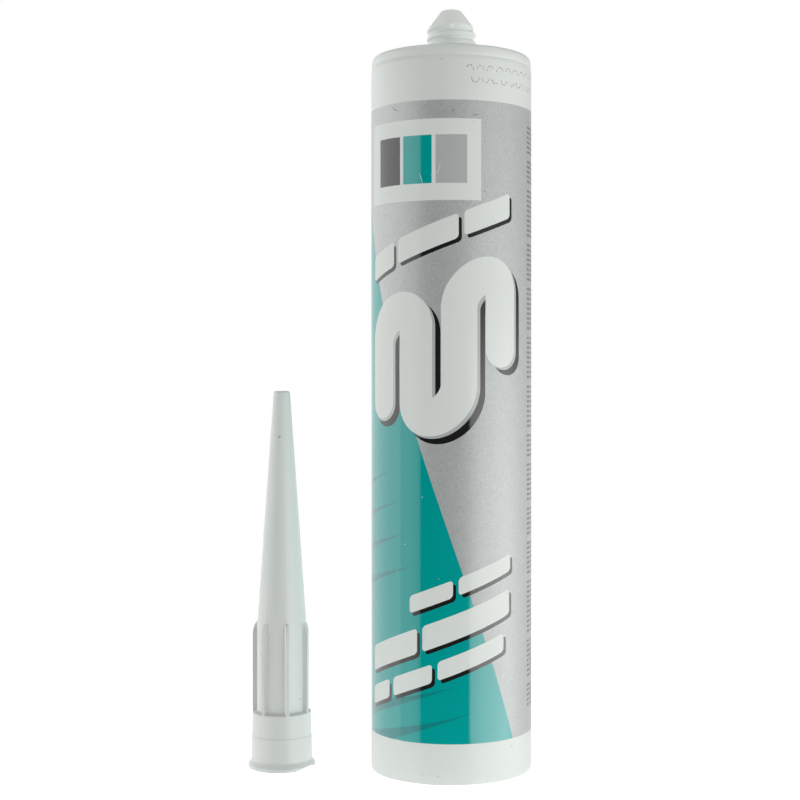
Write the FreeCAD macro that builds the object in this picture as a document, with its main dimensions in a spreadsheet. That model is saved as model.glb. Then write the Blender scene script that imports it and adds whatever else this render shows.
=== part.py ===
import FreeCAD, Part
import math
import os
import re
import Sketcher

# A sealant cartridge of the standard 310 ml size, with its screw-on nozzle beside it.
# The barrel is a moulded tube that is open at the rear and closed by a shoulder in front,
# where a threaded nipple stands with its tip still uncut. A piston sits in the rear of the
# bore and pushes the sealant before it. The nozzle is taken off and stands on its flange.
# Millimetres. The origin is the centre of the barrel's rear rim, on the floor, and +Z runs
# along the barrel to the nipple.

SIZES = {
    "barrel_radius": 25.0,
    "barrel_length": 220.5,
    "barrel_wall": 1.65,
    "rear_lead_in": 0.6,
    "shoulder_thickness": 1.8,
    "shoulder_edge_bevel": 0.9,
    "shoulder_corner_bevel": 1.2,
    "head_band_height": 3.7,
    "head_band_step": 0.2,
    "nipple_height": 15.2,
    "nipple_root_radius": 6.85,
    "nipple_cone_height": 5.1,
    "nipple_tip_radius": 3.0,
    "nipple_tip_bevel": 0.3,
    "nipple_tip_wall": 1.4,
    "nipple_wall": 1.95,
    "nipple_foot_width": 0.4,
    "nipple_foot_height": 1.3,
    "thread_pitch": 2.66,
    "thread_turns": 2.75,
    "thread_depth": 0.75,
    "thread_foot_width": 2.3,
    "thread_crest_width": 0.7,
    "thread_start": 2.25,
    "thread_clearance": 0.15,
    "piston_recess": 16.0,
    "piston_length": 17.0,
    "piston_clearance": 0.08,
    "piston_lip_height": 2.4,
    "piston_waist_depth": 0.6,
    "piston_skirt_wall": 1.5,
    "piston_crown_thickness": 1.7,
    "piston_crown_bevel": 1.6,
    "piston_boss_radius": 4.5,
    "piston_boss_height": 3.0,
    "gusset_width": 1.3,
    "gusset_count": 8,
    "gusset_inner_height": 1.6,
    "gusset_outer_height": 8.0,
    "gusset_knee_radius": 15.0,
    "sealant_side_gap": 0.1,
    "sealant_end_gap": 0.3,
    "nozzle_gap": 17.6,
    "nozzle_length": 117.0,
    "nozzle_wall": 1.25,
    "nozzle_tip_radius": 2.5,
    "nozzle_tip_wall": 1.2,
    "nozzle_tip_bevel": 0.5,
    "mouth_depth": 3.0,
    "socket_depth": 16.4,
    "socket_seat_width": 1.35,
    "flange_width": 1.0,
    "flange_thickness": 1.2,
    "flange_flare": 1.0,
    "flange_nick_height": 1.0,
    "flange_nick_start": 4.5,
    "skirt_wall": 1.25,
    "skirt_height": 9.9,
    "skirt_step": 0.15,
    "collar_height": 17.0,
    "collar_ledge": 0.6,
    "grip_height": 45.0,
    "rib_height": 1.4,
    "rib_width": 1.2,
    "rib_count": 7,
    "rib_shoulder_height": 3.8,
    "rib_first_angle": -72.5,
}

SIZE_WORD = re.compile(r"[a-z]+(?:_[a-z]+)+")

# places that more than one piece takes its size from, as formulas in the sheet's words
BORE = "(barrel_radius - barrel_wall)"
SHOULDER_INSIDE = "(barrel_length - shoulder_thickness)"
NIPPLE_TIP = "(barrel_length + nipple_height)"
NIPPLE_CONE_FOOT = "(barrel_length + nipple_height - nipple_cone_height)"
NIPPLE_FOOT_RADIUS = "(nipple_root_radius + thread_depth + nipple_foot_width)"
MOUTH_RADIUS = f"({NIPPLE_FOOT_RADIUS} + thread_clearance)"
SOCKET_RADIUS = "(nipple_root_radius + thread_depth + thread_clearance)"
SKIRT_RADIUS = f"({MOUTH_RADIUS} + skirt_wall)"
FLANGE_RADIUS = f"({SKIRT_RADIUS} + flange_width)"
THROAT_RADIUS = f"({SOCKET_RADIUS} - socket_seat_width)"
GRIP_CORE_RADIUS = f"({THROAT_RADIUS} + nozzle_wall)"


def make_sheet(doc):
    """Write the driving dimensions to the sheet, one row each."""
    sheet = doc.addObject("Spreadsheet::Sheet", "Sizes")
    for row, (name, value) in enumerate(SIZES.items(), start=1):
        sheet.set(f"A{row}", name.replace("_", " "))
        sheet.set(f"B{row}", str(value))
        sheet.setAlias(f"B{row}", name)
    doc.recompute()
    return sheet


def bound(text):
    """A formula in the sheet's words, with each word pointed at its cell."""
    return SIZE_WORD.sub(lambda word: "Sizes." + word.group(0), text)


def value_of(doc, text):
    """The number that a formula in the sheet's words has now."""
    return float(doc.Sizes.evalExpression(bound(text)))


def origin_feature(body, role):
    """An origin plane or axis of a body, found by its role."""
    return next(item for item in body.Origin.OriginFeatures if item.Role == role)


def new_sketch(body, name, role, turn=""):
    """A sketch on one of the body's origin planes, turned about the body's axis."""
    sketch = body.newObject("Sketcher::SketchObject", name)
    sketch.AttachmentSupport = [(origin_feature(body, role), "")]
    sketch.MapMode = "FlatFace"
    if turn:
        angle = value_of(body.Document, turn)
        sketch.AttachmentOffset = FreeCAD.Placement(
            FreeCAD.Vector(0, 0, 0), FreeCAD.Rotation(FreeCAD.Vector(0, 1, 0), angle)
        )
        sketch.setExpression("AttachmentOffset.Rotation.Angle", bound(turn))
    return sketch


def arc_between(start, end, radius):
    """The short arc from start to end. A positive radius bulges to the right of the way."""
    chord = end - start
    half = chord.Length / 2
    rise = abs(radius) - math.sqrt(radius * radius - half * half)
    right = FreeCAD.Vector(chord.y, -chord.x, 0).normalize()
    middle = start + chord * 0.5 + right * math.copysign(rise, radius)
    return Part.Arc(start, middle, end)


def draw_outline(body, name, role, corners, turn=""):
    """A closed outline with each corner's place bound to the sheet.

    A corner is (across, up) or (across, up, radius), both in the sheet's words. The radius
    makes the way to the next corner an arc, and a minus before it turns the bulge over.
    """
    doc = body.Document
    sketch = new_sketch(body, name, role, turn)
    places = [
        FreeCAD.Vector(value_of(doc, corner[0]), value_of(doc, corner[1]), 0)
        for corner in corners
    ]
    radii = {}
    for index, corner in enumerate(corners):
        here = places[index]
        there = places[(index + 1) % len(corners)]
        if len(corner) == 3:
            radii[index] = corner[2].lstrip("-")
            sketch.addGeometry(arc_between(here, there, value_of(doc, corner[2])), False)
        else:
            sketch.addGeometry(Part.LineSegment(here, there), False)
    for index, place in enumerate(places):
        last = (index - 1) % len(corners)
        point = end_at(sketch, index, place)
        before = end_at(sketch, last, place)
        sketch.addConstraint(Sketcher.Constraint("Coincident", last, before, index, point))
        across, up = corners[index][:2]
        bind(sketch, Sketcher.Constraint("DistanceX", -1, 1, index, point, place.x), across)
        bind(sketch, Sketcher.Constraint("DistanceY", -1, 1, index, point, place.y), up)
    for index, radius in radii.items():
        size = value_of(doc, radius)
        bind(sketch, Sketcher.Constraint("Radius", index, size), radius)
    return sketch


def end_at(sketch, index, place):
    """Which end of an edge lies at a place: 1 for its start, 2 for its end."""
    edge = sketch.Geometry[index]
    nearer_start = (edge.StartPoint - place).Length < (edge.EndPoint - place).Length
    return 1 if nearer_start else 2


def bind(sketch, constraint, text):
    """Add a dimension to a sketch and tie it to a formula in the sheet's words."""
    index = sketch.addConstraint(constraint)
    if SIZE_WORD.search(text):
        sketch.setExpression(f"Constraints[{index}]", bound(text))


def new_body(doc, name):
    """An empty body whose label names its part."""
    body = doc.addObject("PartDesign::Body", name.title().replace("_", ""))
    body.Label = name
    return body


def revolve(body, name, sketch):
    """Turn an outline once round the body's upright axis."""
    feature = body.newObject("PartDesign::Revolution", name)
    feature.Profile = sketch
    feature.ReferenceAxis = (sketch, ["V_Axis"])
    feature.Angle = 360.0
    body.Document.recompute()
    return feature


def add_helix(body, name, sketch, height_text):
    """Carry a thread's section up a right-hand helix round the body's axis."""
    helix = body.newObject("PartDesign::AdditiveHelix", name)
    helix.Profile = sketch
    helix.ReferenceAxis = (sketch, ["V_Axis"])
    helix.Mode = 0
    helix.LeftHanded = False
    helix.Pitch = value_of(body.Document, "thread_pitch")
    helix.Height = value_of(body.Document, height_text)
    helix.setExpression("Pitch", bound("thread_pitch"))
    helix.setExpression("Height", bound(height_text))
    body.Document.recompute()
    return helix


def pattern_round(body, name, feature, count_text):
    """Repeat a feature evenly round the body's axis."""
    pattern = body.newObject("PartDesign::PolarPattern", name)
    pattern.Originals = [feature]
    pattern.Axis = (origin_feature(body, "Z_Axis"), [""])
    pattern.Angle = 360.0
    pattern.Occurrences = int(value_of(body.Document, count_text))
    pattern.setExpression("Occurrences", bound(count_text))
    body.Tip = pattern
    body.Document.recompute()
    return pattern


def make_barrel(doc):
    """The barrel: tube, shoulder and threaded nipple in one moulding."""
    body = new_body(doc, "barrel")
    head_radius = "barrel_radius - head_band_step"
    channel = "nipple_root_radius - nipple_wall"
    outline = draw_outline(
        body,
        "BarrelOutline",
        "XZ_Plane",
        [
            (f"{BORE} + rear_lead_in", "0"),
            ("barrel_radius", "0"),
            ("barrel_radius", "barrel_length - head_band_height"),
            (head_radius, "barrel_length - head_band_height + head_band_step"),
            (head_radius, "barrel_length - shoulder_edge_bevel"),
            (f"{head_radius} - shoulder_edge_bevel", "barrel_length"),
            (NIPPLE_FOOT_RADIUS, "barrel_length"),
            (NIPPLE_FOOT_RADIUS, "barrel_length + nipple_foot_height"),
            ("nipple_root_radius", "barrel_length + nipple_foot_height"),
            ("nipple_root_radius", NIPPLE_CONE_FOOT),
            ("nipple_tip_radius", f"{NIPPLE_TIP} - nipple_tip_bevel"),
            ("nipple_tip_radius - nipple_tip_bevel", NIPPLE_TIP),
            ("0", NIPPLE_TIP),
            ("0", f"{NIPPLE_TIP} - nipple_tip_wall"),
            ("nipple_tip_radius - nipple_tip_wall / 2", f"{NIPPLE_TIP} - nipple_tip_wall"),
            (channel, f"{NIPPLE_CONE_FOOT} - nipple_tip_wall / 2"),
            (channel, SHOULDER_INSIDE),
            (f"{BORE} - shoulder_corner_bevel", SHOULDER_INSIDE),
            (BORE, f"{SHOULDER_INSIDE} - shoulder_corner_bevel"),
            (BORE, "rear_lead_in"),
        ],
    )
    revolve(body, "BarrelTurn", outline)
    add_nipple_thread(body)
    trim_nipple_thread(body)
    return body


def add_nipple_thread(body):
    """The nipple's coarse right-hand thread."""
    middle = "barrel_length + thread_start"
    buried = "nipple_root_radius - thread_depth / 2"
    crest = "nipple_root_radius + thread_depth"
    section = draw_outline(
        body,
        "ThreadSection",
        "XZ_Plane",
        [
            (buried, f"{middle} - thread_foot_width / 2"),
            (crest, f"{middle} - thread_crest_width / 2"),
            (crest, f"{middle} + thread_crest_width / 2"),
            (buried, f"{middle} + thread_foot_width / 2"),
        ],
    )
    add_helix(body, "NippleThread", section, "thread_pitch * thread_turns")


def trim_nipple_thread(body):
    """Cut the thread's upper end along the nipple's cone, carried on outwards."""
    reach = "thread_depth * 2"
    cone_height = "(nipple_cone_height - nipple_tip_bevel)"
    fall = f"{reach} * {cone_height} / (nipple_root_radius - nipple_tip_radius)"
    outline = draw_outline(
        body,
        "TrimOutline",
        "XZ_Plane",
        [
            ("nipple_root_radius", NIPPLE_CONE_FOOT),
            (f"nipple_root_radius + {reach}", f"{NIPPLE_CONE_FOOT} - {fall}"),
            (f"nipple_root_radius + {reach}", f"{NIPPLE_TIP} - nipple_tip_bevel"),
            ("nipple_tip_radius", f"{NIPPLE_TIP} - nipple_tip_bevel"),
        ],
    )
    groove = body.newObject("PartDesign::Groove", "ThreadTrim")
    groove.Profile = outline
    groove.ReferenceAxis = (outline, ["V_Axis"])
    groove.Angle = 360.0
    body.Document.recompute()


def make_piston(doc):
    """The piston: a cup with two sealing lips, and gussets behind its crown."""
    body = new_body(doc, "piston")
    outer = f"{BORE} - piston_clearance"
    waist = f"{outer} - piston_waist_depth"
    inner = f"{waist} - piston_skirt_wall"
    lip_top = "piston_length - piston_crown_bevel"
    crown_inside = "piston_length - piston_crown_thickness"
    outline = draw_outline(
        body,
        "PistonOutline",
        "XZ_Plane",
        [
            ("0", "piston_length"),
            (f"{outer} - piston_crown_bevel", "piston_length"),
            (outer, lip_top),
            (outer, f"{lip_top} - piston_lip_height"),
            (waist, f"{lip_top} - piston_lip_height - piston_waist_depth"),
            (waist, "piston_lip_height + piston_waist_depth"),
            (outer, "piston_lip_height"),
            (outer, "0"),
            (inner, "0"),
            (inner, crown_inside),
            ("piston_boss_radius", crown_inside),
            ("piston_boss_radius", f"{crown_inside} - piston_boss_height"),
            ("0", f"{crown_inside} - piston_boss_height"),
        ],
    )
    revolve(body, "PistonTurn", outline)
    rooted = f"{crown_inside} + piston_crown_thickness / 2"
    gusset_outline = draw_outline(
        body,
        "GussetOutline",
        "XZ_Plane",
        [
            ("piston_boss_radius / 2", rooted),
            ("piston_boss_radius / 2", f"{crown_inside} - gusset_inner_height"),
            ("gusset_knee_radius", f"{crown_inside} - gusset_inner_height"),
            (inner, f"{crown_inside} - gusset_outer_height"),
            (f"{inner} + piston_skirt_wall / 2", f"{crown_inside} - gusset_outer_height"),
            (f"{inner} + piston_skirt_wall / 2", rooted),
        ],
    )
    gusset = pad_both_ways(body, "Gusset", gusset_outline, "gusset_width")
    pattern_round(body, "Gussets", gusset, "gusset_count")
    body.Placement.Base.z = value_of(doc, "piston_recess")
    body.setExpression("Placement.Base.z", bound("piston_recess"))
    return body


def pad_both_ways(body, name, sketch, width_text):
    """Thicken an outline evenly on both sides of its plane."""
    pad = body.newObject("PartDesign::Pad", name)
    pad.Profile = sketch
    pad.SideType = "Symmetric"
    pad.Length = value_of(body.Document, width_text)
    pad.setExpression("Length", bound(width_text))
    body.Document.recompute()
    return pad


def make_sealant(doc):
    """The sealant: a plug that fills the bore from the piston to the shoulder."""
    body = new_body(doc, "sealant")
    outer = f"{BORE} - sealant_side_gap"
    low = "piston_recess + piston_length + sealant_end_gap"
    high = f"{SHOULDER_INSIDE} - sealant_side_gap"
    outline = draw_outline(
        body,
        "SealantOutline",
        "XZ_Plane",
        [
            ("0", low),
            (outer, low),
            (outer, f"{high} - shoulder_corner_bevel"),
            (f"{outer} - shoulder_corner_bevel", high),
            ("0", high),
        ],
    )
    revolve(body, "SealantTurn", outline)
    return body


def make_nozzle(doc):
    """The nozzle: flange, collar, ribbed grip and a long hollow cone."""
    body = new_body(doc, "nozzle")
    upper_skirt = f"{SKIRT_RADIUS} - skirt_step"
    tip_hole = "nozzle_tip_radius - nozzle_tip_wall"
    outline = draw_outline(
        body,
        "NozzleOutline",
        "XZ_Plane",
        [
            (MOUTH_RADIUS, "0"),
            (FLANGE_RADIUS, "0"),
            (FLANGE_RADIUS, "flange_thickness"),
            (SKIRT_RADIUS, "flange_thickness + flange_flare"),
            (SKIRT_RADIUS, "skirt_height"),
            (upper_skirt, "skirt_height"),
            (upper_skirt, "collar_height"),
            (GRIP_CORE_RADIUS, "collar_height + collar_ledge"),
            (GRIP_CORE_RADIUS, "grip_height"),
            ("nozzle_tip_radius", "nozzle_length - nozzle_tip_bevel"),
            ("nozzle_tip_radius - nozzle_tip_bevel", "nozzle_length"),
            (tip_hole, "nozzle_length"),
            (THROAT_RADIUS, "grip_height"),
            (THROAT_RADIUS, "socket_depth"),
            (SOCKET_RADIUS, "socket_depth"),
            (SOCKET_RADIUS, "mouth_depth"),
            (MOUTH_RADIUS, "mouth_depth"),
        ],
    )
    revolve(body, "NozzleTurn", outline)
    add_grip_ribs(body)
    add_flange_nick(body)
    place = f"-(barrel_radius + nozzle_gap + {FLANGE_RADIUS})"
    body.Placement.Base.x = value_of(doc, place)
    body.setExpression("Placement.Base.x", bound(place))
    return body


def add_grip_ribs(body):
    """The finger ribs round the grip, each with a rounded upper shoulder."""
    rooted = f"{GRIP_CORE_RADIUS} - nozzle_wall / 2"
    rib_foot = "collar_height - collar_ledge"
    rib_radius = f"{GRIP_CORE_RADIUS} + rib_height"
    across = "(rib_height + nozzle_wall / 4)"
    rise = "(rib_shoulder_height + collar_ledge / 2)"
    rib_outline = draw_outline(
        body,
        "GripRibOutline",
        "XZ_Plane",
        [
            (rooted, rib_foot),
            (rib_radius, rib_foot),
            (
                rib_radius,
                "grip_height - rib_shoulder_height",
                f"({across} ^ 2 + {rise} ^ 2) / (2 * {across})",
            ),
            (f"{rib_radius} - {across}", "grip_height + collar_ledge / 2"),
            (rooted, "grip_height"),
        ],
        turn="rib_first_angle",
    )
    rib = pad_both_ways(body, "GripRib", rib_outline, "rib_width")
    pattern_round(body, "GripRibs", rib, "rib_count")


def add_flange_nick(body):
    """The shallow nick in the flange's underside, at its right front."""
    beyond = f"{FLANGE_RADIUS} * 2"
    nick_outline = draw_outline(
        body,
        "NickOutline",
        "XZ_Plane",
        [
            ("flange_nick_start", "-flange_nick_height"),
            (beyond, "-flange_nick_height"),
            (beyond, "flange_nick_height"),
            (f"{FLANGE_RADIUS} - flange_width * 2", "flange_nick_height"),
            ("flange_nick_start", "0"),
        ],
    )
    nick = body.newObject("PartDesign::Pocket", "FlangeNick")
    nick.Profile = nick_outline
    nick.Reversed = True
    nick.Length = value_of(body.Document, beyond)
    nick.setExpression("Length", bound(beyond))
    body.Document.recompute()


def check_document(doc):
    """Stop if any object failed or any sub-part is not a sound solid."""
    for item in doc.Objects:
        if "Invalid" in item.State or "Error" in item.State:
            raise RuntimeError(f"{item.Name} failed: {item.State}")
    for item in doc.Objects:
        if item.TypeId == "PartDesign::Body" and (item.Shape.isNull() or not item.Shape.isValid()):
            raise RuntimeError(f"{item.Label} has no sound shape")


def export_parts(bodies):
    """Write each sub-part to its own file."""
    os.makedirs("parts", exist_ok=True)
    for body in bodies:
        body.Shape.exportStep(f"parts/{body.Label}.step")
        box = body.Shape.BoundBox
        volume = body.Shape.Volume / 1000
        print(f"{body.Label}: {volume:.2f} cm3, {box.ZMin:.1f} to {box.ZMax:.1f} mm high")


def main():
    doc = FreeCAD.newDocument("Cartridge")
    make_sheet(doc)
    bodies = [make_barrel(doc), make_piston(doc), make_sealant(doc), make_nozzle(doc)]
    doc.recompute()
    check_document(doc)
    export_parts(bodies)


main()
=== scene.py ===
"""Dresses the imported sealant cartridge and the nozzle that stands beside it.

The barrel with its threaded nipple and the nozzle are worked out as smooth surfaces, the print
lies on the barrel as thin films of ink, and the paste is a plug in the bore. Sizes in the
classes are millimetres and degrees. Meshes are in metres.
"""
from __future__ import annotations

import logging
import math
from dataclasses import dataclass
from enum import Enum
from typing import Callable, Sequence

import bpy
import numpy as np
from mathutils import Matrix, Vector


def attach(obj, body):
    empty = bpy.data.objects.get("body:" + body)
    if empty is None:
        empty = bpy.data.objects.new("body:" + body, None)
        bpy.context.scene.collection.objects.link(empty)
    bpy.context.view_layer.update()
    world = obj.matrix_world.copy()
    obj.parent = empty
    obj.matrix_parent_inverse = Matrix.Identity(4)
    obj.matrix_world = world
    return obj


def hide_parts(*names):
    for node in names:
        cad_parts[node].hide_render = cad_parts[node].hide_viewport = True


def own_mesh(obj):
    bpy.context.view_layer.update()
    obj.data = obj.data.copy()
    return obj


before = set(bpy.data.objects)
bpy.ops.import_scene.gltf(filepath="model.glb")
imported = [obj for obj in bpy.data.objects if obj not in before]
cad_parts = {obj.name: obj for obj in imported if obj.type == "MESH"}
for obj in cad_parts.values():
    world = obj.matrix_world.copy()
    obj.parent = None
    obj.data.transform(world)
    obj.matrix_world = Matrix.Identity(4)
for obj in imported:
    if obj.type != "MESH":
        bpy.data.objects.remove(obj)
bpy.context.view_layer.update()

log = logging.getLogger("cartridge")

MM = 0.001
FULL_TURN = 2.0 * math.pi
CARTRIDGE = "cartridge"
Pair = tuple[float, float]
Three = tuple[float, float, float]
Four = tuple[float, float, float, float]
Colour = Three
Socket = bpy.types.NodeSocket
Tree = bpy.types.NodeTree


# Surfaces


def smooth_rise(value: np.ndarray) -> np.ndarray:
    """An even rise from 0 to 1: 3t² - 2t³, held at its ends."""
    held = np.clip(value, 0.0, 1.0)
    return held * held * (3.0 - 2.0 * held)


def unit(vector: np.ndarray) -> np.ndarray:
    """The vector, or each vector of a row of them, brought to length 1."""
    return vector / np.linalg.norm(vector, axis=-1, keepdims=True)


def fillet(before: np.ndarray, corner: np.ndarray, after: np.ndarray, radius: float) -> np.ndarray:
    """The arc that rounds a corner.

    The centre lies on the corner's bisector, radius / cos(half the turn) away, and the points
    are centre + radius * (sin(a) * along - cos(a) * inwards), with a from minus to plus half
    the turn.

    Args:
        before: The profile's corner before this one.
        corner: The corner that is rounded.
        after: The profile's corner after it.
        radius: The arc's radius.

    Returns:
        The arc's points, one row each.
    """
    into = unit(corner - before)
    out = unit(after - corner)
    turn = math.acos(float(np.clip(np.dot(into, out), -1.0, 1.0)))
    inwards = unit(out - into)
    along = unit(out + into)
    centre = corner + inwards * radius / math.cos(turn / 2.0)
    steps = max(3, int(math.ceil(math.degrees(turn) / 12.0)) + 1)
    angle = np.linspace(-turn / 2.0, turn / 2.0, steps)[:, None]
    return centre + radius * (np.sin(angle) * along - np.cos(angle) * inwards)


def rounded_profile(corners: Sequence[tuple[float, ...]], closed: bool = False) -> np.ndarray:
    """A profile through its corners, each as sharp or as round as it says.

    Args:
        corners: (radius, height) or (radius, height, rounding) for each corner.
        closed: Whether the last corner leads back to the first.

    Returns:
        The profile's points as (radius, height) rows.
    """
    places = np.array([corner[:2] for corner in corners], dtype=float)
    pieces = []
    for index, corner in enumerate(corners):
        inner = closed or 0 < index < len(corners) - 1
        if len(corner) == 3 and inner:
            following = places[(index + 1) % len(corners)]
            pieces.append(fillet(places[index - 1], places[index], following, corner[2]))
        else:
            pieces.append(places[index][None, :])
    return np.concatenate(pieces)


def divided(profile: np.ndarray, step: float, low: float, high: float) -> np.ndarray:
    """A profile with more points where its height lies between two limits.

    Each stretch is cut into equal parts no longer than the step.

    Args:
        profile: (radius, height) rows.
        step: The longest part allowed between the limits.
        low: The lower limit of height.
        high: The upper limit of height.

    Returns:
        The profile with the added points.
    """
    pieces = []
    for start, end in zip(profile[:-1], profile[1:]):
        middle = (start[1] + end[1]) / 2.0
        length = float(np.linalg.norm(end - start))
        parts = int(math.ceil(length / step)) if low <= middle <= high else 1
        share = np.linspace(0.0, 1.0, parts + 1)[:-1, None]
        pieces.append(start + (end - start) * share)
    pieces.append(profile[-1:])
    return np.concatenate(pieces)


def even_angles(count: int) -> np.ndarray:
    """Angles of an even full turn, without its last, in radians."""
    return np.arange(count) * (FULL_TURN / count)


def turned(radius: np.ndarray, height: np.ndarray, angle: np.ndarray) -> np.ndarray:
    """Points round the upright axis: (r cos a, r sin a, z) for every cell of the grid."""
    return np.stack([radius * np.cos(angle), radius * np.sin(angle), height + 0.0 * angle], axis=-1)


def grid_quads(rows: int, columns: int, wrap_rows: bool, wrap_columns: bool) -> np.ndarray:
    """The four corners of each cell of a grid of points.

    A cell runs (i, j), (i, j+1), (i+1, j+1), (i+1, j), so it faces the viewer for whom columns
    run to the right and rows run up.

    Args:
        rows: How many rows of points there are.
        columns: How many columns there are.
        wrap_rows: Whether the last row joins the first.
        wrap_columns: Whether the last column joins the first.

    Returns:
        Point numbers, four to a row.
    """
    row = np.arange(rows if wrap_rows else rows - 1)[:, None]
    column = np.arange(columns if wrap_columns else columns - 1)[None, :]
    above = (row + 1) % rows
    beside = (column + 1) % columns
    corners = [
        row * columns + column,
        row * columns + beside,
        above * columns + beside,
        above * columns + column,
    ]
    return np.stack(np.broadcast_arrays(*corners), axis=-1).reshape(-1, 4)


def pole_fans(columns: int, first_row: int, last_row: int, pole: int) -> np.ndarray:
    """Triangles that close a turned surface at its first and its last row, each to a pole."""
    here = np.arange(columns)
    beside = (here + 1) % columns
    start = np.stack([beside + first_row, here + first_row, np.full(columns, pole)], axis=-1)
    end = np.stack([here + last_row, beside + last_row, np.full(columns, pole + 1)], axis=-1)
    return np.concatenate([start, end])


@dataclass
class Patch:
    """A grid or set of points in millimetres and the faces between them."""

    points: np.ndarray
    faces: list[list[int]]

    @classmethod
    def joined(cls, patches: Sequence["Patch"]) -> "Patch":
        """Several patches as one, with the point numbers carried on."""
        points = np.concatenate([patch.points for patch in patches])
        faces: list[list[int]] = []
        offset = 0
        for patch in patches:
            faces.extend([number + offset for number in face] for face in patch.faces)
            offset += len(patch.points)
        return cls(points, faces)


def closed_turning(points: np.ndarray, start_pole: Sequence[float], end_pole: Sequence[float]) -> Patch:
    """A turned surface with a pole at each end of its profile.

    Args:
        points: The grid, rows along the profile and columns round the axis.
        start_pole: The point that closes the first row.
        end_pole: The point that closes the last row.

    Returns:
        The closed patch.
    """
    rows, columns = points.shape[:2]
    flat = np.concatenate([points.reshape(-1, 3), [start_pole], [end_pole]])
    quads = grid_quads(rows, columns, False, True)
    fans = pole_fans(columns, 0, (rows - 1) * columns, rows * columns)
    return Patch(flat, quads.tolist() + fans.tolist())


def ring_turning(points: np.ndarray) -> Patch:
    """A turned surface whose profile is a closed loop."""
    rows, columns = points.shape[:2]
    return Patch(points.reshape(-1, 3), grid_quads(rows, columns, True, True).tolist())


def placed(name: str, data: object) -> bpy.types.Object:
    """A new object with this data, linked to the scene."""
    made = bpy.data.objects.new(name, data)
    bpy.context.scene.collection.objects.link(made)
    return made


def make_piece(name: str, patch: Patch, finish: "Finish", sharp: float = 32.0) -> bpy.types.Object:
    """Write a patch into an object, give it its finish and let it ride the cartridge.

    Args:
        name: The piece's name.
        patch: Its points in millimetres and its faces.
        finish: What it is made of.
        sharp: Edges that turn by more than this many degrees stay sharp.

    Returns:
        The new object.
    """
    mesh = bpy.data.meshes.new(name)
    mesh.from_pydata((patch.points * MM).tolist(), [], patch.faces)
    mesh.update()
    mesh.shade_smooth()
    mesh.set_sharp_from_angle(angle=math.radians(sharp))
    piece = placed(name, mesh)
    mesh.materials.append(finish.material())
    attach(piece, CARTRIDGE)
    log.info("%s: %d points, %d faces", name, len(mesh.vertices), len(mesh.polygons))
    return piece


# Finishes


class Graph:
    """A node tree that is filled one node at a time."""

    def __init__(self, tree: Tree) -> None:
        """Take hold of the tree."""
        self.tree = tree

    def feed(self, node: bpy.types.Node, inputs: dict) -> None:
        """Link or set a node's inputs, by name or number."""
        for name, value in inputs.items():
            if isinstance(value, Socket):
                self.tree.links.new(value, node.inputs[name])
            else:
                node.inputs[name].default_value = value

    def add(self, kind: str, inputs: dict | None = None, **settings: object) -> bpy.types.Node:
        """Add a node.

        Args:
            kind: The node's type.
            inputs: For each input, by name or number, a socket to link or a value to set.
            settings: The node's own properties.

        Returns:
            The new node.
        """
        node = self.tree.nodes.new(kind)
        for name, value in settings.items():
            setattr(node, name, value)
        self.feed(node, inputs or {})
        return node

    def math(self, operation: str, first: object, second: object = 0.0, third: object = 0.0) -> Socket:
        """One Math node's result."""
        inputs = {0: first, 1: second, 2: third}
        return self.add("ShaderNodeMath", inputs, operation=operation).outputs[0]

    def vector(self, operation: str, first: object, second: object = (0.0, 0.0, 0.0)) -> Socket:
        """One Vector Math node's result, which is a number for a length or a distance."""
        node = self.add("ShaderNodeVectorMath", {0: first, 1: second}, operation=operation)
        return node.outputs["Value" if operation in ("LENGTH", "DISTANCE") else "Vector"]

    def scaled(self, colour: object, share: float) -> Socket:
        """A colour with each of its channels times a share."""
        inputs = {0: colour, "Scale": share}
        return self.add("ShaderNodeVectorMath", inputs, operation="SCALE").outputs[0]

    def ramp(
        self, value: object, low: float, high: float, to_low: float = 0.0, to_high: float = 1.0
    ) -> Socket:
        """A value carried from one range to another, held at the ends."""
        inputs = {"Value": value, "From Min": low, "From Max": high, "To Min": to_low, "To Max": to_high}
        return self.add("ShaderNodeMapRange", inputs).outputs["Result"]

    def blend(self, share: object, first: object, second: object) -> Socket:
        """Two colours mixed by a share."""
        return self.add("ShaderNodeMix", {0: share, 6: first, 7: second}, data_type="RGBA").outputs[2]

    def noise(self, place: object, scale: object, detail: float = 2.0, roughness: float = 0.5) -> Socket:
        """A noise over the place, from 0 to 1."""
        inputs = {"Vector": place, "Scale": scale, "Detail": detail, "Roughness": roughness}
        return self.add("ShaderNodeTexNoise", inputs).outputs["Fac"]

    def place(self) -> Socket:
        """The place on the piece, in the piece's own coordinates."""
        return self.add("ShaderNodeTexCoord").outputs["Object"]

    def parts(self, vector: object) -> bpy.types.NodeOutputs:
        """A vector's X, Y and Z."""
        return self.add("ShaderNodeSeparateXYZ", {0: vector}).outputs


def rgba(colour: Colour, factor: float = 1.0) -> Four:
    """A colour times a factor, with full opacity."""
    red, green, blue = (min(1.0, channel * factor) for channel in colour)
    return (red, green, blue, 1.0)


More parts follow.
